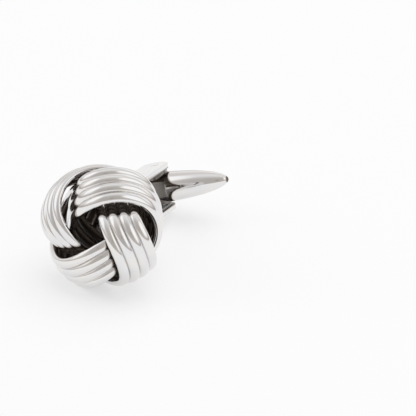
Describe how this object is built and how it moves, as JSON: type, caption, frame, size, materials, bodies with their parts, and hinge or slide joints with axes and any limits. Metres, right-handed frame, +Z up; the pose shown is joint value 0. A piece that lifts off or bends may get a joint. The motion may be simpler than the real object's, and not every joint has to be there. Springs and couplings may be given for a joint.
{
  "type": "cufflink",
  "caption": "Polished silver love-knot cufflink: a woven ball of flattened wires on a forked post, with a torpedo bar that swivels to lock it in the cuff.",
  "frame": {"origin": "middle of the bounding box on the table that the link lies on", "axes": "+Z up from the table; +Y over the post, from the knot towards the bar, so the knot's face looks to -Y; +X to the side of the raised end of the bar"},
  "size_m": [0.0182, 0.0284, 0.0157],
  "materials": {
    "knot_silver": "mirror polish",
    "post_silver": "polished",
    "bar_silver": "mirror polish",
    "pin_steel": "ground flush",
    "spring_steel": "rolled",
    "rivet_brass": "plated"
  },
  "bodies": {
    "link": {"knot_wire_1": "knot_silver", "knot_wire_2": "knot_silver", "knot_wire_3": "knot_silver", "knot_wire_4": "knot_silver", "knot_seat": "post_silver", "base_rivet": "rivet_brass", "fork": "post_silver", "click_spring": "spring_steel", "pivot_pin": "pin_steel"},
    "toggle": {"toggle_bar": "bar_silver"}
  },
  "joints": [
    {"name": "toggle_swivel", "type": "hinge", "parent": "link", "child": "toggle", "pos_m": [0, 0.01197, 0.00336], "axis": [-0.3009, 0.1932, 0.9339], "range_deg": [-90, 90]}
  ]
}
